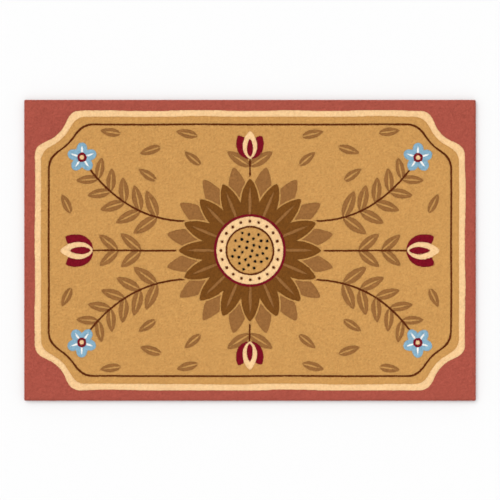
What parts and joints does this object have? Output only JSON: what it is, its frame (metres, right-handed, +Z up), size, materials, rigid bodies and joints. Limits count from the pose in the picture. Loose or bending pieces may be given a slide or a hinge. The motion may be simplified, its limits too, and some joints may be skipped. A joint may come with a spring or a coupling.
{
  "type": "plush rug",
  "caption": "Flat rectangular plush rug of short cut pile: a cream-edged tan panel with a brown flower and leaf design on a brick red ground. Lies flat on a floor.",
  "frame": {"origin": "centre of the underside, on the floor", "axes": "+X along the long side, +Y along the short side towards the top of the design, +Z up out of the pile"},
  "size_m": [0.9, 0.6, 0.012],
  "materials": {
    "pile_tan": "matt short cut pile, tan",
    "pile_red": "matt short cut pile, brick red",
    "pile_cream": "matt short cut pile, warm cream",
    "pile_brown": "matt short cut pile, mid brown",
    "pile_dark_brown": "matt short cut pile, dark brown",
    "pile_line_brown": "matt short cut pile, red-brown of the thin lines",
    "pile_maroon": "matt short cut pile, maroon",
    "pile_blue": "matt short cut pile, pale blue",
    "pile_white": "matt short cut pile, white",
    "pile_black": "matt short cut pile, black",
    "backing": "plain woven backing, undyed"
  },
  "bodies": {
    "root": {"rug": "pile_tan"}
  },
  "joints": []
}
